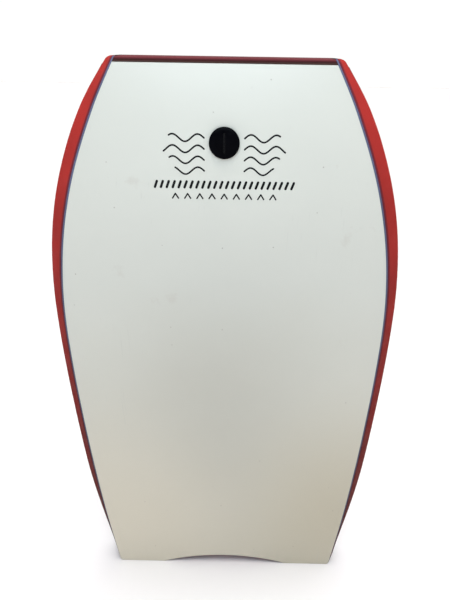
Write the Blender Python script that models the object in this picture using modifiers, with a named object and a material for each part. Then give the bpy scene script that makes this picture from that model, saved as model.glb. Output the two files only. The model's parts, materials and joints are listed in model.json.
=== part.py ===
"""A bodyboard standing upright on its tail, built up from its laminated layers.

Frame: metres, +Z from the tail up to the nose, the slick facing -Y and the deck facing +Y,
+X to the right of someone who looks at the slick. The origin is the middle of the floor
rectangle under the board. Across the thickness, depth is measured from the slick's outer
face towards the deck.
"""

import math

import bmesh
import bpy
from mathutils import Vector

# Board
SLICK_LENGTH = 1.034
TOTAL_LENGTH = 1.041
THICKNESS = 0.052
ROCKER_RISE = 0.031  # how far the nose end bends towards the deck
ROCKER_START = 0.780
GAP = 0.0003  # glue line between neighbouring layers

# Half width of the slick at heights above the tail; a smooth curve runs through these.
OUTLINE = (
    (0.000, 0.2375),
    (0.150, 0.2515),
    (0.300, 0.2610),
    (0.450, 0.2665),
    (0.580, 0.2678),
    (0.680, 0.2640),
    (0.780, 0.2495),
    (0.880, 0.2225),
    (0.976, 0.1835),
    (1.041, 0.1500),
)
TAIL_CORNER = 0.007  # plan radius of the tail corners

# Lower rail facet and deck chine
APEX_DEPTH = 0.024  # the widest line of the board, measured from the slick
FLARE = 0.0235  # how far the lower facet leans out from the slick's edge
TAIL_FLARE = 0.013
FLARE_FADE = 0.300  # height over which the facet widens from the tail
NOSE_SWELL = 0.0045  # the facet is this much wider towards the nose
SWELL_FADE = (0.600, 0.880)
NOSE_TAPER = 0.0125  # how far the widest line runs in at the nose
TAPER_START = 0.930
NOSE_CORNER = 0.005  # plan radius of the rail's nose end

# Layers
SLICK_THICKNESS = 0.0015
MESH_THICKNESS = 0.0006
DECK_THICKNESS = 0.004
STRIPE_THICKNESS = 0.0045
NOSE_STRIP_LENGTH = 0.0025
TAIL_STRIP_THICKNESS = 0.005
SKIN_LIFT = 0.0006  # the skins stop this far short of the tail's end

# Crescent cut in the tail
ARCH_HALF_WIDTH = 0.135
ARCH_RISE = 0.025
ARCH_STEPS = 28

# Stringers
STRINGER_OFFSET = 0.085
STRINGER_RADIUS = 0.00635
STRINGER_WALL = 0.0016
STRINGER_DEPTH = 0.025
STRINGER_LOW = 0.027
STRINGER_HIGH = 0.830
CAP_THICKNESS = 0.003
CAP_SPIGOT = 0.008

# Leash plug; along its axis, heights are measured outwards from the slick's face
PLUG_HEIGHT = 0.933
PLUG_FACET = (0.902, 0.964)  # the nose is flat between these heights, so the plug seats flat
FLANGE_RADIUS = 0.022
FLANGE_THICKNESS = 0.0032
WASHER_THICKNESS = 0.0012
WASHER_RADIUS = 0.0205
SHANK_RADIUS = 0.007
SHANK_END = -0.012
STEM_RADIUS = 0.0052
STEM_END = -0.0335
BARREL_RADIUS = 0.010
BARREL_END = -0.0140
BORE_RADIUS = 0.0057
BORE_END = -0.0350
CUP_RADIUS = 0.011
CUP_WALL = 0.0025
CUP_DEPTH = 0.0135
PIN_RADIUS = 0.002
PIN_DEPTH = 0.0087  # below the flange's rim
PIN_BITE = 0.0012  # how far the pin reaches into the cup's wall
COIN_SLOT = (0.0032, 0.0300, 0.0018)
THREAD_PITCH = 0.003
THREAD_STEPS = 16
TURN_STEPS = 36

# Heights of the sections: close together round the corners and where the nose bends
HEIGHTS = (
    0.0, SKIN_LIFT, 0.002, 0.0045, 0.007, 0.045, 0.090, 0.135, 0.180, 0.225, 0.270, 0.330, 0.390,
    0.450, 0.510, 0.570, 0.625, 0.680, 0.730, 0.780, 0.805, 0.830, 0.855, 0.880, *PLUG_FACET,
    0.982, 1.001, 1.018, SLICK_LENGTH, 1.0365, 1.0390, TOTAL_LENGTH,
)  # fmt: skip

WHITE = (0.80, 0.81, 0.78)
RED = (0.42, 0.045, 0.040)
BLUE = (0.10, 0.125, 0.235)
MAROON = (0.20, 0.062, 0.070)
DARK = (0.045, 0.030, 0.026)
CHARCOAL = (0.030, 0.032, 0.036)
FOAM = (0.74, 0.72, 0.66)
SCRIM = (0.55, 0.57, 0.58)
GLASS = (0.62, 0.64, 0.50)
BLACK = (0.010, 0.012, 0.018)
RUBBER = (0.025, 0.025, 0.025)
STEEL = (0.60, 0.60, 0.60)


# ---------------------------------------------------------------- shape of the board


def smoothstep(value):
    value = min(max(value, 0.0), 1.0)
    return value * value * (3 - 2 * value)


def outline(height):
    """Half width of the slick, without the rounded corners: a Catmull-Rom curve."""
    last = len(OUTLINE) - 2
    i = next((k for k in range(last) if height < OUTLINE[k + 1][0]), last)
    (z0, w0), (z1, w1) = OUTLINE[i], OUTLINE[i + 1]

    def slope(k):
        low, high = OUTLINE[max(k - 1, 0)], OUTLINE[min(k + 1, last + 1)]
        return (high[1] - low[1]) / (high[0] - low[0])

    span = z1 - z0
    t = (height - z0) / span
    return (
        (2 * t**3 - 3 * t**2 + 1) * w0
        + (t**3 - 2 * t**2 + t) * span * slope(i)
        + (3 * t**2 - 2 * t**3) * w1
        + (t**3 - t**2) * span * slope(i + 1)
    )


def corner(distance, radius):
    """How far a rounded corner pulls in at this distance from the end."""
    reach = max(radius - distance, 0.0)
    return radius - math.sqrt(radius**2 - reach**2)


def half_width(height):
    return outline(height) - corner(height, TAIL_CORNER)


def flare(height):
    width = TAIL_FLARE + (FLARE - TAIL_FLARE) * smoothstep(height / FLARE_FADE)
    low, high = SWELL_FADE
    width += NOSE_SWELL * smoothstep((height - low) / (high - low))
    taper = max(height - TAPER_START, 0) / (TOTAL_LENGTH - TAPER_START)
    width -= NOSE_TAPER * taper**2
    return width - corner(TOTAL_LENGTH - height, NOSE_CORNER)


def chine(height):
    """How far the deck's edge lies in from the board's widest line."""
    return 0.9 * flare(height) - 0.003


def rocker(height):
    return ROCKER_RISE * (max(height - ROCKER_START, 0) / (TOTAL_LENGTH - ROCKER_START)) ** 2


BOX_DEPTH = THICKNESS + rocker(TOTAL_LENGTH)


def point(x, depth, height):
    return Vector((x, depth - BOX_DEPTH / 2 + rocker(height), height))


CORE_TOP = THICKNESS - DECK_THICKNESS - GAP
CORE_BOTTOM = SLICK_THICKNESS + MESH_THICKNESS + 2 * GAP


def facet_depth(height, out):
    """Depth of the lower facet this far out from the slick's edge."""
    return out * APEX_DEPTH / flare(height)


def chine_out(height, depth, inset):
    """How far out the chine is at this depth, moved in by inset square to its face."""
    slope = chine(height) / (THICKNESS - APEX_DEPTH)
    return flare(height) - inset * math.hypot(1, slope) - slope * (depth - APEX_DEPTH)


def chine_depth(height, out, inset):
    """Depth at which the moved-in chine is this far out."""
    slope = chine(height) / (THICKNESS - APEX_DEPTH)
    return APEX_DEPTH + (chine_out(height, APEX_DEPTH, inset) - out) / slope


def arch(x):
    """Height of the crescent's edge; just below zero outside the crescent."""
    radius = (ARCH_HALF_WIDTH**2 + ARCH_RISE**2) / (2 * ARCH_RISE)
    return max(math.sqrt(radius**2 - x**2) - radius + ARCH_RISE, -SKIN_LIFT)


# ---------------------------------------------------------------- helpers

parts = bpy.data.collections.new("bodyboard")
cutters = bpy.data.collections.new("cutters")
materials = {}


def material(name, colour, roughness, metallic=0.0):
    if name not in materials:
        made = bpy.data.materials.new(name)
        made.use_nodes = True
        shader = made.node_tree.nodes["Principled BSDF"]
        shader.inputs["Base Color"].default_value = (*colour, 1)
        shader.inputs["Roughness"].default_value = roughness
        shader.inputs["Metallic"].default_value = metallic
        made.diffuse_color = (*colour, 1)
        materials[name] = made
    return materials[name]


def finish(obj, look=None, angle=35):
    """Puts an object in its collection: a part if it has a look, a cutter if not."""
    if look is None:
        cutters.objects.link(obj)
        obj.hide_render = True
        obj.display_type = "WIRE"
        return obj
    parts.objects.link(obj)
    obj.data.materials.append(material(*look))
    obj.data.shade_smooth()
    obj.data.set_sharp_from_angle(angle=math.radians(angle))
    return obj


def object_from(name, mesh, parent=None):
    data = bpy.data.meshes.new(name)
    bmesh.ops.recalc_face_normals(mesh, faces=mesh.faces)
    if mesh.calc_volume(signed=True) < 0:
        bmesh.ops.reverse_faces(mesh, faces=mesh.faces)
    mesh.to_mesh(data)
    mesh.free()
    obj = bpy.data.objects.new(name, data)
    obj.parent = parent
    return obj


def loft(name, rings, parent=None):
    """A solid through rings that all have the same number of points."""
    mesh = bmesh.new()
    made = [[mesh.verts.new(p) for p in ring] for ring in rings]
    for low, high in zip(made, made[1:]):
        for i in range(len(low)):
            j = (i + 1) % len(low)
            mesh.faces.new((low[i], low[j], high[j], high[i]))
    mesh.faces.new(reversed(made[0]))
    mesh.faces.new(made[-1])
    return object_from(name, mesh, parent)


def turned(name, profile, parent, closed=False, steps=TURN_STEPS):
    """A profile of (radius, height) points turned about the parent's Z axis."""
    data = bpy.data.meshes.new(name)
    edges = [(i, i + 1) for i in range(len(profile) - 1)]
    if closed:
        edges.append((len(profile) - 1, 0))
    data.from_pydata([(r, 0, z) for r, z in profile], edges, [])
    obj = bpy.data.objects.new(name, data)
    obj.parent = parent
    screw = obj.modifiers.new("turn", "SCREW")
    screw.steps = screw.render_steps = steps
    screw.use_merge_vertices = True
    screw.merge_threshold = 0.00001
    screw.use_smooth_shade = True
    return obj


def boolean(obj, other, operation="DIFFERENCE"):
    modifier = obj.modifiers.new(other.name, "BOOLEAN")
    modifier.operation = operation
    modifier.object = other
    return obj


def heights(low, high):
    return [h for h in HEIGHTS if low - 1e-9 <= h <= high + 1e-9]


def layer(name, low, high, shallow, deep, steps=None):
    """A layer as wide as the slick, between two depths."""
    rings = []
    for height in steps or heights(low, high):
        w = half_width(height)
        rings.append(
            [
                point(-w, shallow, height),
                point(w, shallow, height),
                point(w, deep, height),
                point(-w, deep, height),
            ]
        )
    return loft(name, rings)


def side_piece(name, side, section, low=0):
    """A rail piece: section(height) gives points as (distance out from the slick's edge, depth)."""
    rings = []
    for height in heights(low, TOTAL_LENGTH):
        w = half_width(height)
        ring = [point(side * (w + out), depth, height) for out, depth in section(height)]
        rings.append(ring if side > 0 else ring[::-1])
    return loft(name, rings)


def tail_cutter(name, low, high):
    """A block across the tail, between two heights that depend on x."""
    reach = 0.30
    inner = [ARCH_HALF_WIDTH * (2 * i / ARCH_STEPS - 1) for i in range(ARCH_STEPS + 1)]
    xs = [-reach, *inner, reach]
    rings = [
        [(x, -0.1, low(x)), (x, 0.1, low(x)), (x, 0.1, high(x)), (x, -0.1, high(x))] for x in xs
    ]
    return finish(loft(name, rings))


# ---------------------------------------------------------------- cutters and axes


def plug_axis():
    """The leash plug's axis: Z outwards from the slick, square to the flat facet at the nose."""
    low, high = PLUG_FACET
    slope = (rocker(high) - rocker(low)) / (high - low)
    middle = rocker(low) + slope * (PLUG_HEIGHT - low)
    axis = bpy.data.objects.new("plug_axis", None)
    axis.empty_display_size = 0.03
    axis.location = (0, middle - BOX_DEPTH / 2, PLUG_HEIGHT)
    axis.rotation_euler = (math.pi / 2 - math.atan(slope), 0, 0)
    parts.objects.link(axis)
    return axis, math.cos(math.atan(slope))


def stringer_axes():
    axes = {}
    for side, x in (("left", -STRINGER_OFFSET), ("right", STRINGER_OFFSET)):
        axis = bpy.data.objects.new(f"stringer_axis_{side}", None)
        axis.empty_display_size = 0.03
        axis.location = point(x, STRINGER_DEPTH, 0)
        parts.objects.link(axis)
        axes[side] = axis
    return axes


def thread(name, axis, root, crest, widths, low, high):
    """A right-handed helical ridge: widths are its half widths at the root and at the crest."""
    rings = []
    for i in range(round((high - low) / THREAD_PITCH * THREAD_STEPS) + 1):
        turn = 2 * math.pi * i / THREAD_STEPS
        height = low + THREAD_PITCH * i / THREAD_STEPS
        shape = ((root, -widths[0]), (crest, -widths[1]), (crest, widths[1]), (root, widths[0]))
        rings.append(
            [(r * math.cos(turn), r * math.sin(turn), height + along) for r, along in shape]
        )
    return finish(loft(name, rings, axis))


# ---------------------------------------------------------------- the layers of the board


def make_core(plug_hole, axes):
    core = layer("foam_core", 0, SLICK_LENGTH, CORE_BOTTOM, CORE_TOP)
    strip = TAIL_STRIP_THICKNESS + GAP
    boolean(core, tail_cutter("cut_core_tail", lambda x: -0.05, lambda x: max(arch(x), 0) + strip))
    for side, axis in axes.items():
        bore = [(0, STRINGER_HIGH + GAP), (STRINGER_RADIUS + GAP, STRINGER_HIGH + GAP)]
        bore += [(STRINGER_RADIUS + GAP, -0.02), (0, -0.02)]
        boolean(core, finish(turned(f"cut_stringer_{side}", bore, axis)))
    boolean(core, plug_hole)
    finish(core, ("core_foam", FOAM, 0.9))


def make_skins(plug_hole):
    arch_cut = tail_cutter("cut_arch", lambda x: -0.05, lambda x: arch(x) + SKIN_LIFT)
    slick = layer("slick_skin", SKIN_LIFT, SLICK_LENGTH, 0, SLICK_THICKNESS)
    boolean(boolean(slick, arch_cut), plug_hole)
    finish(slick, ("slick_hdpe", WHITE, 0.28))

    top = SLICK_THICKNESS + GAP
    scrim = layer("bottom_mesh", SKIN_LIFT, SLICK_LENGTH, top, top + MESH_THICKNESS)
    boolean(boolean(scrim, arch_cut), plug_hole)
    finish(scrim, ("scrim_mesh", SCRIM, 0.7))

    under = THICKNESS - DECK_THICKNESS
    rings = []
    for height in heights(SKIN_LIFT, TOTAL_LENGTH):
        w = half_width(height)
        edge = [(w + chine_out(height, depth, 0), depth) for depth in (THICKNESS, under)]
        ring = [point(-x, depth, height) for x, depth in edge]
        rings.append(ring + [point(x, depth, height) for x, depth in edge[::-1]])
    deck = loft("deck_skin", rings)
    boolean(boolean(deck, arch_cut), plug_hole)
    finish(deck, ("deck_foam", CHARCOAL, 0.8))


def chine_section(height):
    seam = APEX_DEPTH + GAP
    return [
        (chine_out(height, seam, DECK_THICKNESS), seam),
        (chine_out(height, seam, 0), seam),
        (chine_out(height, CORE_TOP, 0), CORE_TOP),
        (chine_out(height, CORE_TOP, DECK_THICKNESS), CORE_TOP),
    ]


def stripe_section(height):
    low, high = GAP, GAP + STRIPE_THICKNESS
    cover = DECK_THICKNESS + 3 * GAP
    return [
        (low, facet_depth(height, low)),
        (high, facet_depth(height, high)),
        (high, chine_depth(height, high, cover)),
        (chine_out(height, CORE_TOP, cover), CORE_TOP),
        (low, CORE_TOP),
    ]


def rail_section(height):
    start = STRIPE_THICKNESS + 2 * GAP
    cover = DECK_THICKNESS + 3 * GAP
    return [
        (start, facet_depth(height, start)),
        (flare(height), APEX_DEPTH),
        (chine_out(height, APEX_DEPTH, cover), APEX_DEPTH),
        (start, chine_depth(height, start, cover)),
    ]


def make_rails():
    for name, side in (("left", -1), ("right", 1)):
        stripe = side_piece(f"pinstripe_{name}", side, stripe_section)
        finish(stripe, ("stripe_foam", BLUE, 0.75))
        rail = side_piece(f"rail_{name}", side, rail_section)
        finish(rail, ("rail_foam", RED, 0.75))
        strip = side_piece(f"chine_{name}", side, chine_section, SKIN_LIFT)
        finish(strip, ("deck_foam", CHARCOAL, 0.8))


def make_ends():
    low = SLICK_LENGTH + GAP
    middle = low + NOSE_STRIP_LENGTH
    strip = layer("nose_strip", 0, 0, 0, CORE_TOP, (low, middle))
    finish(strip, ("nose_strip_foam", DARK, 0.8))
    bumper = layer("nose_bumper", 0, 0, 0, CORE_TOP, (middle + GAP, TOTAL_LENGTH))
    finish(bumper, ("nose_foam", MAROON, 0.75))

    tail = layer("tail_bumper", 0, 0.050, CORE_BOTTOM, CORE_TOP)
    boolean(tail, tail_cutter("cut_tail_arch", lambda x: -0.05, lambda x: max(arch(x), -0.01)))
    top = TAIL_STRIP_THICKNESS
    boolean(tail, tail_cutter("cut_above_tail", lambda x: max(arch(x), 0) + top, lambda x: 0.08))
    finish(tail, ("tail_foam", RED, 0.75))


def make_stringers(axes):
    inner = STRINGER_RADIUS - STRINGER_WALL
    for side, axis in axes.items():
        low, high = STRINGER_LOW + CAP_THICKNESS + GAP, STRINGER_HIGH - CAP_THICKNESS - GAP
        wall = [(STRINGER_RADIUS, high), (STRINGER_RADIUS, low), (inner, low), (inner, high)]
        tube = turned(f"stringer_{side}", wall, axis, closed=True, steps=24)
        finish(tube, ("fibreglass", GLASS, 0.45))
        spigot = inner - GAP
        for end, edge, way in (("tail", STRINGER_LOW, 1), ("nose", STRINGER_HIGH, -1)):
            shape = [
                (0, edge),
                (STRINGER_RADIUS, edge),
                (STRINGER_RADIUS, edge + way * CAP_THICKNESS),
                (spigot, edge + way * CAP_THICKNESS),
                (spigot, edge + way * (CAP_THICKNESS + CAP_SPIGOT)),
                (0, edge + way * (CAP_THICKNESS + CAP_SPIGOT)),
            ]
            shape = shape[::-1] if way > 0 else shape
            cap = turned(f"stringer_cap_{side}_{end}", shape, axis, steps=24)
            finish(cap, ("cap_plastic", BLACK, 0.5))


# ---------------------------------------------------------------- the leash plug


def make_plug_hole(axis, deck_face):
    """The stepped hole through the board, wider at the deck for the cup."""
    cup = CUP_RADIUS + CUP_WALL + GAP
    step = deck_face + CUP_DEPTH + CUP_WALL + 2 * GAP
    shape = [
        (0, 0.02),
        (SHANK_RADIUS + 0.001, 0.02),
        (SHANK_RADIUS + 0.001, BARREL_END + GAP),
        (BARREL_RADIUS + GAP, BARREL_END + GAP),
        (BARREL_RADIUS + GAP, step),
        (cup, step),
        (cup, deck_face - 0.02),
        (0, deck_face - 0.02),
    ]
    return finish(turned("cut_plug_hole", shape, axis))


def make_screw(axis):
    seat = 2 * GAP + WASHER_THICKNESS
    top = seat + FLANGE_THICKNESS
    shape = [
        (0, top + 0.0010),
        (0.008, top + 0.0009),
        (0.014, top + 0.0006),
        (0.019, top),
        (0.0212, top - 0.0009),
        (FLANGE_RADIUS, top - 0.0020),
        (FLANGE_RADIUS, seat + 0.0004),
        (FLANGE_RADIUS - 0.0004, seat),
        (SHANK_RADIUS, seat),
        (SHANK_RADIUS, SHANK_END),
        (STEM_RADIUS, SHANK_END - 0.0015),
        (STEM_RADIUS, STEM_END + 0.001),
        (STEM_RADIUS - 0.001, STEM_END),
        (0, STEM_END),
    ]
    screw = turned("plug_slick_screw", shape, axis)
    low, high = STEM_END + 0.0022, SHANK_END - 0.0030
    ridge = thread("thread_ridge", axis, 0.0046, 0.0064, (0.0009, 0.0004), low, high)
    boolean(screw, ridge, "UNION")
    width, length, depth = COIN_SLOT
    mesh = bmesh.new()
    bmesh.ops.create_cube(mesh, size=1)
    bmesh.ops.scale(mesh, vec=(width, length, 2 * depth), verts=mesh.verts)
    bmesh.ops.translate(mesh, vec=(0, 0, top + 0.0010), verts=mesh.verts)
    boolean(screw, finish(object_from("cut_coin_slot", mesh, axis)))
    finish(screw, ("plug_nylon", BLACK, 0.22))


def ring_washer(name, axis, inner, low):
    high = low + WASHER_THICKNESS
    shape = [(WASHER_RADIUS, high), (WASHER_RADIUS, low), (inner, low), (inner, high)]
    washer = turned(name, shape, axis, closed=True)
    finish(washer, ("washer_rubber", RUBBER, 0.6))


def make_deck_half(axis, deck_face):
    """The cup half: deck_face is the deck skin's outer face along the plug's axis."""
    seat = deck_face - 2 * GAP - WASHER_THICKNESS
    top = seat - FLANGE_THICKNESS
    floor = deck_face + CUP_DEPTH
    body = CUP_RADIUS + CUP_WALL
    shape = [
        (0, BORE_END),
        (BORE_RADIUS, BORE_END),
        (BORE_RADIUS, BARREL_END - 0.0006),
        (BORE_RADIUS + 0.0006, BARREL_END),
        (BARREL_RADIUS, BARREL_END),
        (BARREL_RADIUS, floor + CUP_WALL),
        (body, floor + CUP_WALL),
        (body, seat),
        (FLANGE_RADIUS, seat),
        (FLANGE_RADIUS, top + 0.0012),
        (FLANGE_RADIUS - 0.0020, top),
        (CUP_RADIUS + 0.0008, top),
        (CUP_RADIUS, top + 0.0008),
        (CUP_RADIUS, floor),
        (0, floor),
    ]
    half = turned("plug_deck_half", shape, axis)
    low, high = BORE_END + 0.0002, BARREL_END + 0.0030
    steps = round((STEM_END + 0.0022 - low) / THREAD_PITCH * THREAD_STEPS)
    low = STEM_END + 0.0022 - steps * THREAD_PITCH / THREAD_STEPS
    groove = thread("cut_thread", axis, 0.0050, 0.0069, (0.0014, 0.0009), low, high)
    groove.rotation_euler = (0, 0, -2 * math.pi * steps / THREAD_STEPS)
    boolean(half, groove)

    depth = top + PIN_DEPTH
    reach = CUP_RADIUS + PIN_BITE
    for name, radius, length in (
        ("cut_pin_hole", PIN_RADIUS + GAP, 2 * (reach + GAP)),
        ("leash_pin", PIN_RADIUS, 2 * reach),
    ):
        bpy.ops.mesh.primitive_cylinder_add(
            vertices=20, radius=radius, depth=length, location=(0, 0, depth)
        )
        pin = bpy.context.object
        pin.name = pin.data.name = name
        pin.rotation_euler = (math.pi / 2, 0, 0)
        pin.parent = axis
        bpy.context.collection.objects.unlink(pin)
        if name == "leash_pin":
            finish(pin, ("pin_steel", STEEL, 0.3, 1.0))
        else:
            boolean(half, finish(pin))
    finish(half, ("plug_nylon", BLACK, 0.22))


def main():
    for obj in list(bpy.data.objects):
        bpy.data.objects.remove(obj)
    for collection in (parts, cutters):
        bpy.context.scene.collection.children.link(collection)
    cutters.hide_render = True

    axis, tilt = plug_axis()
    deck_face = -THICKNESS * tilt
    plug_hole = make_plug_hole(axis, deck_face)
    axes = stringer_axes()
    make_core(plug_hole, axes)
    make_skins(plug_hole)
    make_rails()
    make_ends()
    make_stringers(axes)
    make_screw(axis)
    ring_washer("plug_washer_slick", axis, SHANK_RADIUS + 0.0008, GAP)
    cup = CUP_RADIUS + CUP_WALL + GAP
    ring_washer("plug_washer_deck", axis, cup, deck_face - GAP - WASHER_THICKNESS)
    make_deck_half(axis, deck_face)


main()
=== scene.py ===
"""The bodyboard's looks: fine skins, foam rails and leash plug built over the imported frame.

The board stands on its tail, +Z up to the nose, with the slick facing -Y and the deck +Y.
Across a section, depth is measured from the slick's face towards the deck, and out is
measured from the slick's edge. A section's point is the complex number out + depth * 1j.
"""

import cmath
import json
import math

import bmesh
import bpy
import numpy as np
from mathutils import Matrix, Vector

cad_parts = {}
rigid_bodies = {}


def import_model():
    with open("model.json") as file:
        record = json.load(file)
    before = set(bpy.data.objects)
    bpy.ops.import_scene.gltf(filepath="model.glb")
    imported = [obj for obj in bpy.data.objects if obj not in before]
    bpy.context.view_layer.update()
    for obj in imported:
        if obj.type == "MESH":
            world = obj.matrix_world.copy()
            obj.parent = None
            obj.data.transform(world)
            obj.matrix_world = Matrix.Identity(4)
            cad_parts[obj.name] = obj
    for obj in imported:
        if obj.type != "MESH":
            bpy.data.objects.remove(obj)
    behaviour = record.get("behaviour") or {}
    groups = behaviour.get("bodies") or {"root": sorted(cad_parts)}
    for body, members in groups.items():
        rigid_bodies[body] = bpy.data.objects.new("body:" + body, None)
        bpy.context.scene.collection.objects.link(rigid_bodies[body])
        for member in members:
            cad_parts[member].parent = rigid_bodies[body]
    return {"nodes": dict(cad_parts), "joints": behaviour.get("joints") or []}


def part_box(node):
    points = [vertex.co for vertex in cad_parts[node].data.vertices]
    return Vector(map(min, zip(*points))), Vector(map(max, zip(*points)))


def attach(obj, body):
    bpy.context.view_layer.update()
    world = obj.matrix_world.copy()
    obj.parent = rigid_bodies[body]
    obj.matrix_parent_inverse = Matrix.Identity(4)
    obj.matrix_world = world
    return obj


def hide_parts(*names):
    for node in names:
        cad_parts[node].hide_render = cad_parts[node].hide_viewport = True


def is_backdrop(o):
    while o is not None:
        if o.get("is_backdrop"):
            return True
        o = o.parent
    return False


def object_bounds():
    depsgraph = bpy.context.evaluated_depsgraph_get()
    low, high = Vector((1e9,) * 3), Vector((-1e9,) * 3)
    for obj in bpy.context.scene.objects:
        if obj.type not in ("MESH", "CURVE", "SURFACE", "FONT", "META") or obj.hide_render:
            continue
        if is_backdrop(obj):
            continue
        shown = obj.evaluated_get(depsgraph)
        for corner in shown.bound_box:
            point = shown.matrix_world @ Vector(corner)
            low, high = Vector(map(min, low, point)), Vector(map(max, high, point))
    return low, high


for startup in list(bpy.data.objects):
    bpy.data.objects.remove(startup)
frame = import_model()
cad_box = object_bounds()
nodes = frame["nodes"]

# Sizes shared with the CAD part, in metres
GAP = 0.0003  # glue line between neighbouring layers
THICKNESS = 0.052
SLICK_THICKNESS = 0.0015
DECK_THICKNESS = 0.004
STRIPE = 0.0045
SKIN_LIFT = 0.0006  # the skins stop this far short of the tail's end
TAIL_CORNER = 0.007
NOSE_CORNER = 0.005
TAIL_STRIP = 0.005
ARCH_HALF_WIDTH = 0.135
ARCH_RISE = 0.025
CHINE_SHARE = 0.9  # the chine comes back in by this share of the flare,
CHINE_LESS = 0.003  # less this
SLICK_HOLE, DECK_HOLE = 0.008, 0.0138  # radii of the plug's holes
DRILL_LENGTH = 0.2
DIMPLE_REACH = 0.045  # the skins are drawn in this far from the plug's axis
DIMPLE_FADE = 0.021  # and reach their seat this much nearer to it

FRONT = cad_box[0].y  # the slick's face, where the board is straight
TOP = cad_box[1].z
SLICK_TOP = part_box("slick_skin")[1].z
UNDER = THICKNESS - DECK_THICKNESS  # depth of the deck skin's inner face
CORE_TOP = UNDER - GAP
CORE_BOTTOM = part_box("foam_core")[0].y - FRONT

# Roundings that the CAD part leaves out
APEX_ROUND = 0.0028
DECK_ROUND = 0.0024
EDGE_ROUND = 0.0004
STRIPE_ROUND = EDGE_ROUND * 0.6
SEAM_ROUND = EDGE_ROUND * 0.8

# Bands of painted shade along the rails, in the crease where the pinstripe meets the rail
SEAM_SHADE_WIDTH = 0.0018  # painted shade along the pinstripe's seam with the rail
CREASE_SHADE_WIDTH = 0.0024  # painted shade on the rail's edge next to the pinstripe

# How far the hidden inner faces of thin pieces lie in from their outer ones
RAIL_INSIDE = 0.006
STRIPE_INSIDE = 0.005
DECK_INSET = 0.0010


# ---------------------------------------------------------------- the board's shape


def sections(node):
    """The points of a node at each height where it has some."""
    found = {}
    for vertex in nodes[node].data.vertices:
        x, y, z = vertex.co
        found.setdefault(round(z, 5), []).append((x, y))
    return dict(sorted(found.items()))


def curve(heights, values):
    """A smooth function through the values at these heights."""
    zs, vs = np.array(heights), np.array(values)
    slopes = np.gradient(vs, zs)

    def at(z):
        if not zs[0] <= z <= zs[-1]:
            end = 0 if z < zs[0] else -1
            return float(vs[end] + slopes[end] * (z - zs[end]))
        i = int(np.clip(np.searchsorted(zs, z) - 1, 0, len(zs) - 2))
        span = zs[i + 1] - zs[i]
        t = (z - zs[i]) / span
        return float(
            (2 * t**3 - 3 * t**2 + 1) * vs[i]
            + (t**3 - 2 * t**2 + t) * span * slopes[i]
            + (3 * t**2 - 2 * t**3) * vs[i + 1]
            + (t**3 - t**2) * span * slopes[i + 1]
        )

    return at


def corner(distance, radius):
    """How far a rounded corner pulls in at this distance from the end."""
    reach = min(max(radius - distance, 0.0), radius)
    return radius - math.sqrt(radius**2 - reach**2)


stripe_rings, rail_rings = sections("pinstripe_right"), sections("rail_right")
slick_edges = {z: min(x for x, _ in ring) - GAP for z, ring in stripe_rings.items()}
apexes = {z: max(ring) for z, ring in rail_rings.items()}
apex_y = {z: y for z, (_, y) in apexes.items()}
APEX_DEPTH = apex_y[min(apex_y)] - FRONT

# Curves through the heights clear of the rounded corners, which are put back on them
clear = [z for z in slick_edges if z >= TAIL_CORNER - 1e-6]
edge_curve = curve(clear, [slick_edges[z] for z in clear])
clear = [z for z in apexes if z in slick_edges and z <= TOP - NOSE_CORNER]
flare_curve = curve(clear, [apexes[z][0] - slick_edges[z] for z in clear])
face_curve = curve(list(apex_y), [y - APEX_DEPTH for y in apex_y.values()])


def half_width(z):
    """Half the slick's width."""
    return edge_curve(z) - corner(z, TAIL_CORNER)


def flare(z):
    """How far the board's widest line stands out from the slick's edge."""
    return flare_curve(z) - corner(TOP - z, NOSE_CORNER)


def deck_edge(z):
    """The deck's edge, out from the slick's."""
    return flare(z) - (CHINE_SHARE * flare(z) - CHINE_LESS)


def arch(x):
    """Height of the crescent's edge over the floor."""
    radius = (ARCH_HALF_WIDTH**2 + ARCH_RISE**2) / (2 * ARCH_RISE)
    return max(math.sqrt(radius**2 - min(x**2, radius**2)) - radius + ARCH_RISE, 0.0)


# The leash plug's own frame: Z out of the slick, X to the right
unscrew = next(j for j in frame["joints"] if j["name"] == "plug_unscrew")
plug_origin, plug_z = Vector(unscrew["pos_m"]), Vector(unscrew["axis"]).normalized()
plug_y = plug_z.cross(Vector((1, 0, 0))).normalized()
plug_frame = Matrix.Translation(plug_origin) @ Matrix(
    ((1, plug_y.x, plug_z.x), (0, plug_y.y, plug_z.y), (0, plug_y.z, plug_z.z))
).to_4x4()


def dimple(x, z):
    """How far the skins are drawn in round the plug, so that it seats flat."""
    away = math.hypot(x, z - plug_origin.z)
    if away > DIMPLE_REACH:
        return 0.0
    flat = plug_origin.y + (z - plug_origin.z) * plug_z.z / -plug_z.y
    fade = min(max((DIMPLE_REACH - away) / DIMPLE_FADE, 0.0), 1.0)
    return (flat - face_curve(z)) * fade * fade * (3 - 2 * fade)


def point(x, depth, z):
    """A point at this depth under the slick's face, which curves away towards the nose."""
    return Vector((x, face_curve(z) + depth + dimple(x, z), z))


def steps(low, high, count):
    """Evenly spaced numbers, with both ends."""
    return [low + (high - low) * k / count for k in range(count + 1)]


# Heights of the fine sections: closer together at both ends
HEIGHTS = [0.0, 0.0013, 0.0026, 0.0042, 0.0064]
HEIGHTS += steps(0.009, TOP - 0.010, 118)
HEIGHTS += [TOP - 0.0078, TOP - 0.006, TOP - 0.0044, TOP - 0.0028, TOP - 0.0014, TOP]


# ---------------------------------------------------------------- making meshes

SHARP = math.radians(40)  # edges that turn more than this aren't shaded smooth


def as_object(name, mesh):
    """A linked object from a bmesh, which is freed."""
    data = bpy.data.meshes.new(name)
    mesh.to_mesh(data)
    mesh.free()
    obj = bpy.data.objects.new(name, data)
    bpy.context.scene.collection.objects.link(obj)
    return obj


def smooth(obj):
    obj.data.shade_smooth()
    obj.data.set_sharp_from_angle(angle=SHARP)


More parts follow.
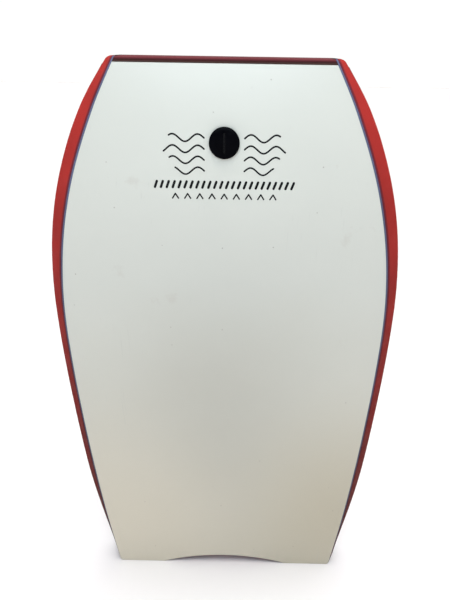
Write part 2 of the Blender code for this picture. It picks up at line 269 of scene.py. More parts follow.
def new_object(name, mesh, body, slot, looks, replaces=()):
    """A finished piece: its shading, materials, body and the CAD nodes it stands for. Its slot is
    not used.
    """
    bmesh.ops.recalc_face_normals(mesh, faces=mesh.faces)
    if mesh.calc_volume(signed=True) < 0:
        bmesh.ops.reverse_faces(mesh, faces=mesh.faces)
    obj = as_object(name, mesh)
    for look in looks:
        obj.data.materials.append(look)
    smooth(obj)
    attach(obj, body)
    if replaces:
        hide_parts(*replaces)
    return obj


def loft(mesh, rings, strip=False, zones=()):
    """Joins rings of points into a closed skin.

    A strip's ends are quads across its two faces. The columns in zones take the second material.
    """
    made = [[mesh.verts.new(p) for p in ring] for ring in rings]
    count = len(made[0])
    for low, high in zip(made, made[1:]):
        for i in range(count):
            j = (i + 1) % count
            face = mesh.faces.new((low[i], low[j], high[j], high[i]))
            face.material_index = 1 if i in zones else 0
    for ring in (made[0], made[-1]):
        if strip:
            for i in range(count // 2 - 1):
                mesh.faces.new((ring[i], ring[i + 1], ring[count - 2 - i], ring[count - 1 - i]))
        else:
            mesh.faces.new(ring)
    return mesh


def fillet(before, at, after, radius, count=6):
    """The points of an arc that rounds the corner at this point."""
    a, b = before - at, after - at
    a, b = a / abs(a), b / abs(b)
    half = abs(cmath.phase(b / a)) / 2
    centre = at + (a + b) / abs(a + b) * radius / math.sin(half)
    start = at + a * radius / math.tan(half) - centre
    end = at + b * radius / math.tan(half) - centre
    turn = cmath.phase(end / start)
    return [centre + start * cmath.exp(1j * turn * k / count) for k in range(count + 1)]


def rounded(points, radii, count=3):
    """A closed outline with each corner that has a radius rounded."""
    outline = []
    for i, (at, radius) in enumerate(zip(points, radii)):
        if radius:
            after = points[(i + 1) % len(points)]
            outline += fillet(points[i - 1], at, after, radius, count)
        else:
            outline.append(at)
    return outline


def bevel(obj, width=EDGE_ROUND, segments=2, angle=45):
    modifier = obj.modifiers.new("edges", "BEVEL")
    modifier.width = width
    modifier.segments = segments
    modifier.limit_method = "ANGLE"
    modifier.angle_limit = math.radians(angle)
    modifier.use_clamp_overlap = False
    modifier.harden_normals = True
    return obj


def cut(obj, mesh):
    """Takes a solid, given in the plug's frame, out of a piece."""
    mesh.transform(plug_frame)
    cutter = as_object("cutter", mesh)
    modifier = obj.modifiers.new("cut", "BOOLEAN")
    modifier.object = cutter
    modifier.solver = "EXACT"
    graph = bpy.context.evaluated_depsgraph_get()
    data = bpy.data.meshes.new_from_object(obj.evaluated_get(graph))
    obj.modifiers.clear()
    obj.data = data
    bpy.data.objects.remove(cutter)
    smooth(obj)


# ---------------------------------------------------------------- materials


class Nodes:
    """Short ways to add nodes to a tree. A colour is given as (red, green, blue)."""

    def __init__(self, tree):
        self.tree = tree

    def join(self, socket, value):
        """Links another node's output to a socket, or sets the socket's own value."""
        if isinstance(value, bpy.types.NodeSocket):
            self.tree.links.new(value, socket)
        else:
            socket.default_value = (*value, 1) if socket.type == "RGBA" else value

    def node(self, kind, settings=None, **inputs):
        """An input is named by its socket, with _ for a space, or by its number, such as _0."""
        made = self.tree.nodes.new(kind)
        for key, value in (settings or {}).items():
            setattr(made, key, value)
        for key, value in inputs.items():
            name = key.replace("_", " ").strip()
            self.join(made.inputs[int(name) if name.isdigit() else name], value)
        return made

    def ramp(self, value, low, high, start=0.0, end=1.0, soft=False):
        """Value taken from low..high to start..end, with flat ends."""
        settings = {"interpolation_type": "SMOOTHSTEP" if soft else "LINEAR"}
        ends = {"From_Min": low, "From_Max": high, "To_Min": start, "To_Max": end}
        return self.node("ShaderNodeMapRange", settings, Value=value, **ends).outputs["Result"]

    def maths(self, operation, first, second):
        settings = {"operation": operation}
        return self.node("ShaderNodeMath", settings, _0=first, _1=second).outputs["Value"]

    def mix(self, share, first, second):
        """From the first colour to the second."""
        settings = {"data_type": "RGBA"}
        return self.node("ShaderNodeMix", settings, _0=share, _6=first, _7=second).outputs[2]


class Look(Nodes):
    """A Principled material, whose patterns are placed in object coordinates."""

    def __init__(self, name, colour, roughness, **sockets):
        self.material = bpy.data.materials.new(name)
        self.material.use_nodes = True
        self.material.diffuse_color = (*colour, 1)
        super().__init__(self.material.node_tree)
        self.colour = colour
        self.shader = self.tree.nodes["Principled BSDF"]
        for key, value in {"Base_Color": colour, "Roughness": roughness, **sockets}.items():
            self.join(self.shader.inputs[key.replace("_", " ")], value)
        self.here = self.node("ShaderNodeTexCoord").outputs["Object"]

    def axes(self):
        return self.node("ShaderNodeSeparateXYZ", Vector=self.here).outputs

    def mapped(self, settings=None, **inputs):
        made = self.node("ShaderNodeMapping", settings, Vector=self.here, **inputs)
        return made.outputs["Vector"]

    def scaled(self, *factors):
        """Object coordinates, stretched by these factors."""
        return self.mapped(Scale=factors)

    def patch(self, centre, size):
        """1 at the centre, falling smoothly to 0 on an ellipsoid."""
        place = self.mapped({"vector_type": "TEXTURE"}, Location=centre, Scale=size)
        away = self.node("ShaderNodeVectorMath", {"operation": "LENGTH"}, _0=place)
        return self.ramp(away.outputs["Value"], 0, 1, 1, 0, soft=True)

    def noise(self, scale, detail=2.0, where=None, roughness=0.5):
        inputs = {"Scale": scale, "Detail": detail, "Roughness": roughness}
        return self.node("ShaderNodeTexNoise", Vector=where or self.here, **inputs).outputs["Fac"]

    def cells(self, scale, feature="F1"):
        settings = {"feature": feature}
        made = self.node("ShaderNodeTexVoronoi", settings, Vector=self.here, Scale=scale)
        return made.outputs["Distance"]

    def waves(self, scale, direction="X", where=None):
        settings = {"bands_direction": direction}
        made = self.node("ShaderNodeTexWave", settings, Vector=where or self.here, Scale=scale)
        return made.outputs["Fac"]

    def tint(self, factor):
        """The material's own colour, made lighter or darker."""
        return tuple(min(c * factor, 1.0) for c in self.colour)

    def stain_and_shade(self, tone, mask, share, colour):
        """A colour laid over the tone where the mask is, at this strength: a mark of use, or
        painted light or shade.
        """
        return self.mix(self.maths("MULTIPLY", mask, share), tone, colour)

    def uneven_height(self, cloud, amount):
        """Height over the floor, made irregular by a noise."""
        return self.maths("ADD", self.axes()["Z"], self.maths("MULTIPLY", cloud, amount))

    def paint(self, colour, roughness=None):
        self.join(self.shader.inputs["Base Color"], colour)
        if roughness is not None:
            self.join(self.shader.inputs["Roughness"], roughness)

    def bumps(self, *layers):
        """Adds layers of (height, distance in metres), the broadest first; gives the material."""
        normal = {}
        for height, distance in layers:
            made = self.node("ShaderNodeBump", Distance=distance, Height=height, **normal)
            normal = {"Normal": made.outputs["Normal"]}
        self.join(self.shader.inputs["Normal"], normal["Normal"])
        return self.material


THROUGH = 100  # half depth of a patch that reaches right through the board

# Broad patches of painted light and shade on the slick: darker in the middle, lighter at the tail's
# left and darker at its right. Each gives x, z, half width, half height, strength and colour
SLICK_LIGHT_AND_SHADE = (
    (0.00, 0.44, 0.27, 0.46, 0.14, (0.0, 0.0, 0.0)),
    (-0.22, 0.08, 0.33, 0.46, 0.85, (0.680, 0.640, 0.528)),
    (0.24, 0.15, 0.28, 0.42, 0.95, (0.525, 0.488, 0.380)),
)


def slick_look():
    """Smooth HDPE, with painted shade that makes it darker and creamier towards the tail, broad
    patches of painted light and shade, and scratches, smudges and specks.
    """
    look = Look("slick_hdpe", (0.618, 0.640, 0.597), 0.34, IOR=1.5)
    broad = look.noise(2.6, 3.0)
    tone = look.mix(look.ramp(broad, 0.35, 0.65), look.tint(0.975), look.tint(1.015))
    # Painted shade: darker and warmer towards the tail
    warm_low_shade = look.ramp(look.uneven_height(broad, 0.25), 0.05, 0.85, 1, 0)
    tone = look.mix(warm_low_shade, tone, (0.618, 0.586, 0.482))
    # Patches of painted light and shade
    for x, z, wide, tall, share, colour in SLICK_LIGHT_AND_SHADE:
        tone = look.stain_and_shade(tone, look.patch((x, 0, z), (wide, THROUGH, tall)), share, colour)

    lines = look.noise(1.0, 4.0, look.scaled(420, 420, 9), 0.6)
    where = look.ramp(look.noise(7.0, 2.0), 0.52, 0.62)
    scratch = look.maths("MULTIPLY", look.ramp(lines, 0.655, 0.70), where)
    tone = look.stain_and_shade(tone, scratch, 0.35, look.tint(0.80))

    smudge = look.ramp(look.noise(17.0, 5.0, None, 0.62), 0.665, 0.74)
    tone = look.stain_and_shade(tone, smudge, 0.30, (0.50, 0.48, 0.44))

    # One speck in each cell of a 77 mm pattern, in some of the cells
    place = look.axes()
    face = look.node("ShaderNodeCombineXYZ", X=place["X"], Y=place["Z"]).outputs["Vector"]
    flat = {"voronoi_dimensions": "2D"}
    dots = look.node("ShaderNodeTexVoronoi", flat, Vector=face, Scale=13.0).outputs
    lot = look.node("ShaderNodeSeparateColor", Color=dots["Color"]).outputs["Red"]
    dot = look.ramp(dots["Distance"], 0.007, 0.016, 1, 0)
    speck = look.maths("MULTIPLY", dot, look.ramp(lot, 0.62, 0.90))
    tone = look.stain_and_shade(tone, speck, 0.65, (0.16, 0.14, 0.12))

    rough = look.ramp(broad, 0.3, 0.7, 0.30, 0.40)
    look.paint(tone, look.maths("ADD", rough, look.maths("MULTIPLY", scratch, 0.12)))
    waviness = look.noise(9.0, 1.0)
    grain = look.noise(1.0, 2.0, look.scaled(260, 260, 90))
    return look.bumps((waviness, 0.0010), (grain, 0.00004), (lines, 0.00002))


def foam_look(name, colour, roughness=0.68, pores=820.0, depth=0.00016, tail_shade=0.0, seam=None):
    """Closed-cell foam.

    Painted shade darkens it towards the tail, by the share given for that. Painted shade also
    darkens it up to height seam[0], fading out by seam[1], so that its top stays lighter.
    """
    look = Look(name, colour, roughness, Specular_IOR_Level=0.06)
    pits = look.cells(pores)
    fine = look.noise(1500.0, 2.0)
    broad = look.noise(14.0, 3.0)
    tone = look.mix(look.ramp(broad, 0.35, 0.68), look.tint(0.90), look.tint(1.07))
    # Painted shade in the foam's pits
    pit_shade = look.mix(0.5, tone, look.tint(0.62))
    tone = look.mix(look.ramp(pits, 0.12, 0.42), pit_shade, tone)
    # Painted shade, darker towards the tail
    if tail_shade:
        shaded_low = look.ramp(look.uneven_height(broad, 0.12), 0.20, 1.02, tail_shade, 0)
        tone = look.mix(shaded_low, tone, look.tint(0.16))
    # Painted shade below a lighter band at the top
    if seam:
        tone = look.mix(look.ramp(look.axes()["Z"], *seam, 1, 0), tone, look.tint(0.42))
    look.paint(tone, look.ramp(look.noise(60.0, 2.0), 0.3, 0.7, roughness - 0.06, roughness + 0.08))
    return look.bumps((broad, 0.0009), (pits, depth), (fine, 0.00004))


def deck_look():
    """Charcoal foam with a crossed embossing, rubbed pale in the middle and scuffed."""
    look = Look("deck_foam", (0.030, 0.032, 0.037), 0.62, Sheen_Weight=0.10, Sheen_Roughness=0.5)
    tilts = [look.mapped(Rotation=(0, math.radians(turn), 0)) for turn in (35, -35)]
    crossing = look.maths("MAXIMUM", *(look.waves(105.0, where=tilt) for tilt in tilts))
    broad = look.noise(8.0, 3.0)
    tone = look.mix(look.ramp(crossing, 0.45, 0.95), look.tint(0.72), look.tint(1.25))
    tone = look.mix(look.ramp(broad, 0.4, 0.7, 0.0, 0.45), tone, look.tint(1.6))

    middle = look.patch((0, 0, 0.42), (0.30, THROUGH, 0.55))
    rubbed = look.maths("MULTIPLY", middle, look.ramp(broad, 0.35, 0.65, 0.4, 1.0))
    tone = look.stain_and_shade(tone, rubbed, 0.50, look.tint(2.0))

    lines = look.noise(1.0, 4.0, look.scaled(260, 260, 14), 0.6)
    where = look.ramp(look.noise(5.0, 2.0), 0.48, 0.60)
    scuffs = look.maths("MULTIPLY", look.ramp(lines, 0.63, 0.70), where)
    tone = look.stain_and_shade(tone, scuffs, 0.55, look.tint(3.2))

    look.paint(tone, look.ramp(crossing, 0.3, 1.0, 0.72, 0.54))
    return look.bumps((broad, 0.0012), (crossing, 0.00032), (look.cells(1400.0), 0.00006))


def core_look():
    look = Look("core_foam", (0.74, 0.72, 0.66), 0.85)
    beads = 260.0
    edge = look.ramp(look.cells(beads, "DISTANCE_TO_EDGE"), 0.0, 0.09)
    look.paint(look.mix(edge, look.tint(0.78), look.tint(1.02)))
    return look.bumps((look.cells(beads), 0.0005), (look.noise(1800.0), 0.00005))


def scrim_look():
    look = Look("scrim_mesh", (0.55, 0.57, 0.58), 0.6)
    threads = [look.ramp(look.waves(160.0, direction), 0.55, 0.9) for direction in ("X", "Z")]
    weave = look.maths("MAXIMUM", *threads)
    look.paint(look.mix(weave, look.tint(0.75), look.tint(1.4)), look.ramp(weave, 0, 1, 0.4, 0.75))
    return look.bumps((weave, 0.0002))


def glass_look():
    look = Look("fibreglass", (0.62, 0.64, 0.50), 0.4)
    strands = look.noise(1.0, 3.0, look.scaled(1400, 1400, 18))
    look.paint(look.mix(strands, look.tint(0.7), look.tint(1.2)))
    return look.bumps((strands, 0.00008))


def nylon_look(name, colour, roughness, gloss):
    look = Look(name, colour, roughness, IOR=1.53, Specular_IOR_Level=gloss)
    grain = look.noise(900.0, 3.0)
    flow = look.noise(1.0, 2.0, look.scaled(60, 300, 60))
    rough = look.ramp(look.noise(140.0, 4.0), 0.35, 0.7, roughness - 0.05, roughness + 0.10)
    look.paint(look.mix(look.ramp(flow, 0.35, 0.7), look.tint(0.8), look.tint(1.35)), rough)
    return look.bumps((flow, 0.00008), (grain, 0.000015))


def rubber_look():
    look = Look("washer_rubber", (0.025, 0.025, 0.026), 0.7)
    grain = look.noise(1100.0, 3.0)
    look.paint(look.mix(grain, look.tint(0.7), look.tint(1.5)))
    return look.bumps((grain, 0.00006))


def steel_look():
    look = Look("pin_steel", (0.60, 0.60, 0.60), 0.3, Metallic=1.0)
    brushed = look.noise(1.0, 3.0, look.scaled(3000, 60, 60))
    tone = look.mix(brushed, look.tint(0.85), look.tint(1.1))
    look.paint(tone, look.ramp(brushed, 0.3, 0.7, 0.24, 0.42))
    return look.bumps((brushed, 0.00001))


def ink_look():
    look = Look("slick_ink", (0.005, 0.005, 0.006), 0.42, Specular_IOR_Level=0.15)
    worn = look.ramp(look.noise(420.0, 4.0, None, 0.7), 0.66, 0.74)
    faded = look.ramp(look.noise(30.0, 2.0), 0.35, 0.7)
    tone = look.mix(faded, look.tint(0.8), look.tint(1.9))
    look.paint(look.stain_and_shade(tone, worn, 0.35, (0.35, 0.35, 0.33)))
    return look.bumps((look.noise(700.0), 0.00001))


def floor_look():
    look = Look("pale_floor", (0.905, 0.925, 0.968), 0.7)
    look.paint(look.mix(look.noise(3.0, 2.0), look.tint(0.995), look.tint(1.005)))
    return look.bumps((look.noise(40.0, 3.0), 0.0002))


SLICK = slick_look()
# Painted shade darkens the rail and stripe foams towards the tail.
RAIL = foam_look("rail_foam", (0.42, 0.032, 0.028), tail_shade=0.96)
# Painted shade for the rail's edge in the crease by the pinstripe
RAIL_SHADED_EDGE = foam_look("rail_shaded_edge", (0.230, 0.028, 0.035), tail_shade=0.96)
STRIPE_BLUE = foam_look("stripe_foam", (0.120, 0.140, 0.245), 0.6, 1100.0, 0.00008, 0.45)
# Painted shade for the pinstripe's edge in the crease by the rail
SEAM_SHADE = foam_look("stripe_seam_shade", (0.125, 0.034, 0.062), 0.65, 1100.0, 0.00008, 0.45)
# Painted shade on the nose bumper's front, below a lighter band along its top
NOSE = foam_look("nose_foam", (0.165, 0.038, 0.046), seam=(TOP - 0.0026, TOP - 0.0006))
NOSE_DARK = foam_look("nose_strip_foam", (0.060, 0.030, 0.026))
TAIL = foam_look("tail_foam", (0.20, 0.034, 0.028))
DECK = deck_look()
NYLON = nylon_look("plug_nylon", (0.0009, 0.0010, 0.0021), 0.20, 0.028)
# Lighter, rougher nylon for the coin slot
SLOT_NYLON = nylon_look("slot_nylon", (0.0042, 0.0042, 0.0058), 0.45, 0.10)
CAP = nylon_look("cap_plastic", (0.010, 0.012, 0.018), 0.45, 0.4)
RUBBER = rubber_look()
STEEL = steel_look()
INK = ink_look()
for look, names in (
    (core_look(), ["foam_core"]),
    (scrim_look(), ["bottom_mesh"]),
    (glass_look(), ["stringer_left", "stringer_right"]),
    (CAP, [name for name in nodes if name.startswith("stringer_cap")]),
    (RUBBER, ["plug_washer_deck"]),
):
    for name in names:
        nodes[name].data.materials.clear()
        nodes[name].data.materials.append(look)


# ---------------------------------------------------------------- skins


def sheet(name, columns, top, outer, inner, rows, hole, **kept):
    """A skin over the crescent, with a hole for the plug.

    outer(u, z) and inner(u, z) give points at a column u. Rows are shares of the way from the
    skin's lower edge to its top.
    """
    rings = []
    for row in rows:
        ring = []
        for face, us in ((outer, columns), (inner, columns[::-1])):
            for u in us:
                foot = arch(face(u, SKIN_LIFT).x) + SKIN_LIFT
                ring.append(face(u, foot + (top - foot) * row))
        rings.append(ring)
    obj = new_object(name, loft(bmesh.new(), rings, strip=True), "board", **kept)
    drill = bmesh.new()
    size = {"radius1": hole, "radius2": hole, "depth": DRILL_LENGTH}
    bmesh.ops.create_cone(drill, cap_ends=True, segments=96, **size)
    cut(obj, drill)
    bevel(obj)


def make_slick():
    def face(depth):
        return lambda u, z: point(u * half_width(z), depth, z)

    columns = steps(-1, 1, 96)
    rows = [0, 0.0012, 0.0025, 0.004, 0.006] + steps(0.0095, 0.996, 134) + [0.998, 1]
    kept = {"slot": "slick_hdpe", "looks": [SLICK], "replaces": ["slick_skin"]}
    sheet("slick", columns, SLICK_TOP, face(0), face(SLICK_THICKNESS), rows, SLICK_HOLE, **kept)


def chine_slope(z):
    """How far the deck's side leans out for each metre of depth."""
    return (flare(z) - deck_edge(z)) / (THICKNESS - APEX_DEPTH)


def deck_profile(z):
    """Half the deck's outer face as x + depth * 1j, from the middle to below its edge."""
    w, edge = half_width(z), deck_edge(z)
    foot = complex(edge + chine_slope(z) * DECK_THICKNESS, UNDER)
    inward = complex(-w, THICKNESS)
    arc = fillet(inward, complex(edge, THICKNESS), foot, DECK_ROUND, 8)
    flat = [complex(x, THICKNESS) for x in steps(-w, arc[0].real, 30)[:-1]]
    return [p + w for p in flat + arc + [foot]]


def make_deck():
    def outer(u, z):
        at = deck_profile(z)[abs(u)]
        return point(math.copysign(at.real, u), at.imag, z)

    def inner(u, z):
        at = deck_profile(z)[abs(u)]
        return point(math.copysign(max(at.real - DECK_INSET, 0), u), UNDER, z)

    count = len(deck_profile(0))
    columns = list(range(1 - count, count))
    rows = [0, 0.0015, 0.004, 0.007] + steps(0.011, 0.992, 100) + [0.995, 0.9975, 1]
    kept = {"slot": "deck_foam", "looks": [DECK], "replaces": ["deck_skin"]}
    sheet("deck", columns, TOP, outer, inner, rows, DECK_HOLE, **kept)


# ---------------------------------------------------------------- rails and ends


APEX_STEPS = 12  # of the widest line's rounding; the rail and the chine meet at its middle
APEX_MIDDLE = APEX_STEPS // 2


def apex_arc(z):
    """The rounded widest line of the board, from the lower facet to the deck's side."""
    edge = complex(deck_edge(z), THICKNESS)
    return fillet(0j, complex(flare(z), APEX_DEPTH), edge, APEX_ROUND, APEX_STEPS)


def facet(z, out):
    """The point of the lower facet that stands this far out."""
    return complex(out, out * APEX_DEPTH / flare(z))


def rail_outline(z):
    edge = STRIPE + 2 * GAP
    # The rail's band next to the pinstripe takes painted shade
    start, crease_shade_edge, arc = facet(z, edge), facet(z, edge + CREASE_SHADE_WIDTH), apex_arc(z)
    seam = complex(arc[APEX_MIDDLE].real, APEX_DEPTH)
    facing = [start, crease_shade_edge, *arc[:APEX_MIDDLE], seam]
    radii = [EDGE_ROUND] + [0] * (APEX_MIDDLE + 1) + [SEAM_ROUND, 0, 0]
    return rounded(facing + [seam - RAIL_INSIDE, start + RAIL_INSIDE * 1j], radii, 6)


def chine_outline(z):
    arc = apex_arc(z)
    seam = complex(arc[APEX_MIDDLE].real, APEX_DEPTH + GAP)
    top = complex(deck_edge(z) + chine_slope(z) * (THICKNESS - CORE_TOP), CORE_TOP)
    facing = [seam, *arc[APEX_MIDDLE + 1 :], top]
    radii = [0, SEAM_ROUND] + [0] * APEX_MIDDLE + [EDGE_ROUND, 0]
    return rounded([seam - DECK_THICKNESS, *facing, top - DECK_THICKNESS], radii)


def stripe_outline(z):
    # The stripe's band next to the rail takes painted shade
    low, seam_shade_start, high = (facet(z, GAP + out) for out in (0, STRIPE - SEAM_SHADE_WIDTH, STRIPE))
    inside = STRIPE_INSIDE * 1j
    radii = [STRIPE_ROUND, 0, EDGE_ROUND, 0, 0]
    return rounded([low, seam_shade_start, high, high + inside, low + inside], radii)


def along_rail(name, side, outline, low, looks, slot, node, zones):
    """A piece down one side: outline(z) gives its section's points."""
    rings = []
    for z in (max(height, low) for height in HEIGHTS):
        w = half_width(z)
        rings.append([point(side * (w + at.real), at.imag, z) for at in outline(z)])
    mesh = loft(bmesh.new(), rings, zones=zones)
    obj = bevel(new_object(name, mesh, "board", slot, looks, [node]), 0.0005, angle=60)
    obj.modifiers.new("flat facets", "WEIGHTED_NORMAL").keep_sharp = True


# Piece, CAD node, outline, lowest height, materials, slot, and columns in the second material,
# which holds the painted shade by the crease
STRIPE_LOOKS = [STRIPE_BLUE, SEAM_SHADE]
RAIL_PIECES = (
    ("foam_rail", "rail", rail_outline, 0, [RAIL, RAIL_SHADED_EDGE], "rail_foam", range(7)),
    ("deck_chine", "chine", chine_outline, SKIN_LIFT, [DECK], "deck_foam", ()),
    ("blue_pinstripe", "pinstripe", stripe_outline, 0, STRIPE_LOOKS, "stripe_foam", range(4, 9)),
)


def make_rails():
    for hand, side in (("left", -1), ("right", 1)):
        for piece, node, outline, low, looks, slot, zones in RAIL_PIECES:
            name, stands_for = f"{piece}_{hand}", f"{node}_{hand}"
            along_rail(name, side, outline, low, looks, slot, stands_for, zones)


def across(name, outline, look, slot, node):
    """A strip across the board: outline(u) gives (depth, z) points as complex numbers."""
    rings = []
    for u in steps(-1, 1, 90):
        rings.append([point(u * half_width(at.imag), at.real, at.imag) for at in outline(u)])
    bevel(new_object(name, loft(bmesh.new(), rings), "board", slot, [look], [node]), 0.0004)


def block(front, low, high, *radii):
    """The outline of a strip that reaches back to the core's top, its corners rounded."""
    corners = ((front, low), (CORE_TOP, low), (CORE_TOP, high), (front, high))
    return rounded([complex(depth, z) for depth, z in corners], radii)


def make_ends():
    low, high = (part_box("nose_strip")[i].z for i in (0, 1))
    strip = block(0, low, high, 0.0003, 0, 0, 0.0005)
    across("nose_dark_strip", lambda u: strip, NOSE_DARK, "nose_strip_foam", "nose_strip")
    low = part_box("nose_bumper")[0].z
    band = block(0, low, TOP, 0.0005, 0, 0.0012, 0.0014)
    across("nose_foam_bumper", lambda u: band, NOSE, "nose_foam", "nose_bumper")

    def tail(u):
        foot = arch(u * half_width(0))
        return block(CORE_BOTTOM, foot, foot + TAIL_STRIP, 0.0009, 0.0009, 0, 0)

    across("tail_foam_bumper", tail, TAIL, "tail_foam", "tail_bumper")


# ---------------------------------------------------------------- the leash plug


def turned_mesh(profile, count=96, closed=False):
    """A profile of radius + height * 1j turned about the plug's axis."""
    mesh = bmesh.new()
    rings = []
    for k in range(count):
        turn = 2 * math.pi * k / count
        ring = [
            mesh.verts.new((p.real * math.cos(turn), p.real * math.sin(turn), p.imag))
            for p in profile
        ]
        rings.append(ring)
    last = len(profile) if closed else len(profile) - 1
    for a, b in zip(rings, rings[1:] + rings[:1]):
        for i in range(last):
            j = (i + 1) % len(profile)
            mesh.faces.new((a[i], b[i], b[j], a[j]))
    bmesh.ops.remove_doubles(mesh, verts=mesh.verts, dist=1e-7)
    return mesh


def path(*corners):
    """A profile through (radius, height, rounding) corners, in millimetres."""
    points = [complex(r, h) / 1000 for r, h, _ in corners]
    made = [points[0]]
    for i in range(1, len(points) - 1):
        radius = corners[i][2] / 1000
        if radius:
            made += fillet(points[i - 1], points[i], points[i + 1], radius, 6)
        else:
            made.append(points[i])
    return made + [points[-1]]


def helix(mesh, root, crest, low, high, pitch=0.003, count=48):
    """Adds a thread between two heights, with count sections a turn."""
    shape = ((root, -0.0009), (crest, -0.0004), (crest, 0.0004), (root, 0.0009))
    rings = []
    for i in range(round((high - low) / pitch * count) + 1):
        turn, height = 2 * math.pi * i / count, low + pitch * i / count
        rings.append([(r * math.cos(turn), r * math.sin(turn), height + up) for r, up in shape])
    loft(mesh, rings)


def coin_slot():
    """A cutter for the slot across the disc, with rounded ends, in the slot's lighter, rougher
    nylon.
    """
    width, length, tall, height = 0.0032, 0.0300, 0.0040, 0.0062
    end_radius = 0.00155
    mesh = bmesh.new()
    bmesh.ops.create_cube(mesh, size=1)
    bmesh.ops.scale(mesh, vec=(width, length, tall), verts=mesh.verts)
    upright = [e for e in mesh.edges if abs((e.verts[0].co - e.verts[1].co).z) > tall / 2]
    bmesh.ops.bevel(mesh, geom=upright, offset=end_radius, segments=8, affect="EDGES")
    bmesh.ops.translate(mesh, vec=(0, 0, height), verts=mesh.verts)
    for face in mesh.faces:
        face.material_index = 1
    return mesh


def make_screw():
    """The coin-slot half: a domed disc on a threaded shank."""
    rim = 18.6
    dome = [complex(r, 6.0 - 0.0023 * r * r) / 1000 for r in steps(0, rim, 12)]
    disc = ((rim, 5.2, 0), (22, 4.75, 1.7), (22, 1.8, 0.5), (7, 1.8, 0.3))
    shank = ((7, -12, 0.5), (5.2, -13.5, 0.3), (5.2, -33.5, 1.0), (0, -33.5, 0))
    mesh = turned_mesh(dome + path(*disc, *shank)[1:])
    helix(mesh, root=0.0046, crest=0.0063, low=-0.0313, high=-0.0150)
    mesh.transform(plug_frame)
    looks, node = [NYLON, SLOT_NYLON], "plug_slick_screw"
    obj = new_object("plug_screw_half", mesh, "plug_screw", "plug_nylon", looks, [node])
    cut(obj, coin_slot())
    bevel(obj, 0.00035, 3, 50)


def make_washer():
    """The seal under the disc, a ring of square section."""
    corners = ((7.8, 0.3), (20.5, 0.3), (20.5, 1.5), (7.8, 1.5))
    ring = rounded([complex(r, h) / 1000 for r, h in corners], [0.0002, 0.0004, 0.0004, 0.0002])
    mesh = turned_mesh(ring, closed=True)
    mesh.transform(plug_frame)
    looks, node = [RUBBER], "plug_washer_slick"
    new_object("slick_washer", mesh, "plug_travel", "washer_rubber", looks, [node])


def make_cup():
    """The deck half, and the steel bar across its cup."""
    deck = THICKNESS * plug_z.y * 1000
    rim, seat, floor = deck - 5.0, deck - 1.8, deck + 13.5
    shelf = floor + 2.5
    barrel = ((0, -35, 0), (5.7, -35, 0.2), (5.7, -14, 0.5), (10, -14, 0.5), (10, shelf, 0.3))
    flange = ((13.5, shelf, 0.5), (13.5, seat, 0.2), (22, seat, 0.4), (22, rim, 1.6))
    inside = ((11, rim, 1.0), (11, floor, 2.0), (0, floor, 0))
    mesh = turned_mesh(path(*barrel, *flange, *inside))
    mesh.transform(plug_frame)
    new_object("leash_cup", mesh, "board", "plug_nylon", [NYLON], ["plug_deck_half"])

    half, radius, height = 12.2, 2, rim + 8.7
    rod = ((0, -half, 0), (radius, -half, 0.4), (radius, half, 0.4), (0, half, 0))
    mesh = turned_mesh(path(*rod), 40)
    across_cup = Matrix.Rotation(math.pi / 2, 4, "X")
    mesh.transform(plug_frame @ Matrix.Translation((0, 0, height / 1000)) @ across_cup)
    new_object("leash_bar", mesh, "board", "pin_steel", [STEEL], ["leash_pin"])


# ---------------------------------------------------------------- printed graphics


PRINT_LIFT, PRINT_SUNK = 0.00010, -0.00003  # the ink's two faces, off the slick


def on_slick(x, z, lift):
    """A point this far off the slick."""
    near = 0.002
    rise = (face_curve(z + near) - face_curve(z - near)) / (2 * near)
    return point(x, 0, z) + Vector((0, -1, rise)).normalized() * lift


def ribbon(mesh, line, width):
    """A printed line of even width along points (x, z), with rounded ends."""
    line = [Vector(p) for p in line]
    cuts = []
    for i, at in enumerate(line):
        along = (line[min(i + 1, len(line) - 1)] - line[max(i - 1, 0)]).normalized()
        cuts.append((at, along, Vector((-along.y, along.x)) * width / 2))

    def rounding(at, along, side, way):
        """Narrowing cuts that run on past an end."""
        on = along * (way * width / 2)
        angles = [math.radians(a) for a in (28, 55, 80)]
        return [(at + on * math.sin(a), along, side * math.cos(a)) for a in angles]

    rings = []
    for at, _, side in rounding(*cuts[0], -1)[::-1] + cuts + rounding(*cuts[-1], 1):
        corners = ((-side, PRINT_SUNK), (-side, PRINT_LIFT), (side, PRINT_LIFT), (side, PRINT_SUNK))
        rings.append([on_slick(*(at + off), lift) for off, lift in corners])
    loft(mesh, rings)


def make_print():
    """Four waves either side of the plug, over a row of slanted bars and a row of chevrons."""
    mesh = bmesh.new()
    wave, swell, apart, start = 0.0360, 0.0050, 0.0150, 0.029
    for side in (-1, 1):
        for row in range(4):
            middle = plug_origin.z + 0.0065 - apart * row
            end = 0.087 - 0.008 * abs(row - 1)
            line = []
            for x in steps(start, end, 80):
                up = swell * math.sin((x - start) / wave * 2 * math.pi)
                line.append((side * x, middle + up))
            ribbon(mesh, line, 0.0024)

    bars, apart, lean = 24, 0.0087, 0.0016
    low, high = plug_origin.z - 0.0625, plug_origin.z - 0.0540
    for k in range(bars):
        x = (k - (bars - 1) / 2) * apart
        ribbon(mesh, [(x - lean, low), (x, (low + high) / 2), (x + lean, high)], 0.0036)

    chevrons, apart, foot, peak = 9, 0.0180, 0.0044, 0.0001
    low, high = plug_origin.z - 0.0785, plug_origin.z - 0.0717
    for k in range(chevrons):
        x = (k - (chevrons - 1) / 2) * apart
        ribbon(mesh, [(x - foot, low), (x - peak, high)], 0.0021)
        ribbon(mesh, [(x + peak, high), (x + foot, low)], 0.0021)
    new_object("slick_print", mesh, "board", "slick_hdpe", [INK])


make_slick()
make_deck()
make_rails()
make_ends()
make_screw()
make_washer()
make_cup()
make_print()


# ---------------------------------------------------------------- stage


FLOOR_REACH = 12  # metres each way

# The studio's light
PALE = (1.03, 1.02, 1.01)
SOFT_BACK = (0.35, 0.36, 0.38)
DIM_FRONT = (0.050, 0.052, 0.056)


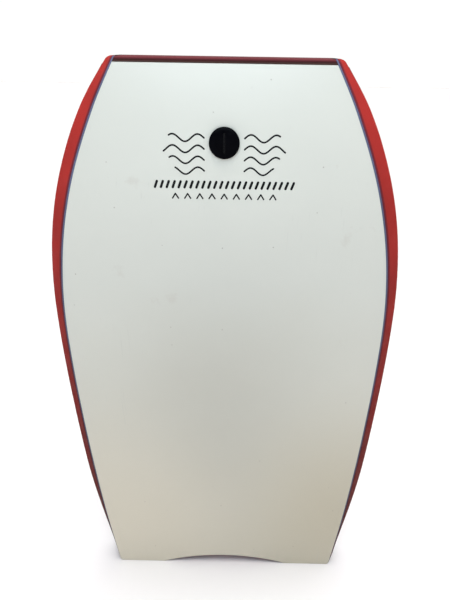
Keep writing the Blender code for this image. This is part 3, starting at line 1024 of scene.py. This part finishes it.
def make_floor():
    data = bpy.data.meshes.new("floor")
    quarters = ((-1, -1), (1, -1), (1, 1), (-1, 1))
    corners = [(x * FLOOR_REACH, y * FLOOR_REACH, 0) for x, y in quarters]
    data.from_pydata(corners, [], [(0, 1, 2, 3)])
    data.materials.append(floor_look())
    obj = bpy.data.objects.new("floor", data)
    bpy.context.scene.collection.objects.link(obj)
    obj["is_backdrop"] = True


def make_world():
    """A studio that looks plain and pale.

    Its light is white near the horizon. Higher up it is soft behind the board and dim before it.
    """
    world = bpy.data.worlds.new("studio")
    bpy.context.scene.world = world
    world.use_nodes = True
    studio = Nodes(world.node_tree)
    generated = studio.node("ShaderNodeTexCoord").outputs["Generated"]
    way = studio.node("ShaderNodeSeparateXYZ", Vector=generated).outputs
    high = studio.mix(studio.ramp(way["Y"], -0.35, 0.35, soft=True), DIM_FRONT, SOFT_BACK)
    light = studio.mix(studio.ramp(way["Z"], 0.10, 0.30, soft=True), PALE, high)
    seen = studio.node("ShaderNodeLightPath").outputs["Is Camera Ray"]
    background = world.node_tree.nodes["Background"]
    studio.join(background.inputs["Color"], studio.mix(seen, light, PALE))


def lamp(name, kind, energy, colour, place, target, **settings):
    light = bpy.data.lights.new(name, kind)
    light.energy, light.color = energy, colour
    for key, value in settings.items():
        setattr(light, key, value)
    obj = bpy.data.objects.new(name, light)
    obj.location = place
    obj.rotation_euler = (Vector(target) - Vector(place)).to_track_quat("-Z", "Y").to_euler()
    obj.visible_camera = False
    bpy.context.scene.collection.objects.link(obj)


make_floor()
make_world()
lamp("overhead", "SUN", 3.1, (1.0, 0.92, 0.85), (0.17, 0, 3), (0, 0, 0), angle=math.radians(50))
lamp("key", "AREA", 5.25, (0.778, 0.902, 0.985), (-0.02, -0.72, 1.50), (-0.02, 0, 0.95), size=0.6)

# Close before the nose and looking down, at the angle that the board's outline calls for
camera_data = bpy.data.cameras.new("camera")
camera_data.lens = 29.5
camera_data.sensor_width = 36
camera_data.shift_x = -0.0245
camera = bpy.data.objects.new("camera", camera_data)
camera.location = (0.0287, FRONT - 0.7084, 1.0693)
turns = ((0.27, "Z"), (61.6, "X"), (0.91, "Z"))
yaw, pitch, roll = (Matrix.Rotation(math.radians(angle), 3, axis) for angle, axis in turns)
camera.rotation_euler = (yaw @ pitch @ roll).to_euler()
bpy.context.scene.collection.objects.link(camera)
bpy.context.scene.camera = camera
bpy.context.scene.view_settings.view_transform = "Standard"

boxes = {"cad": cad_box, "visual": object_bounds()}
{name: [list(corner) for corner in box] for name, box in boxes.items()}
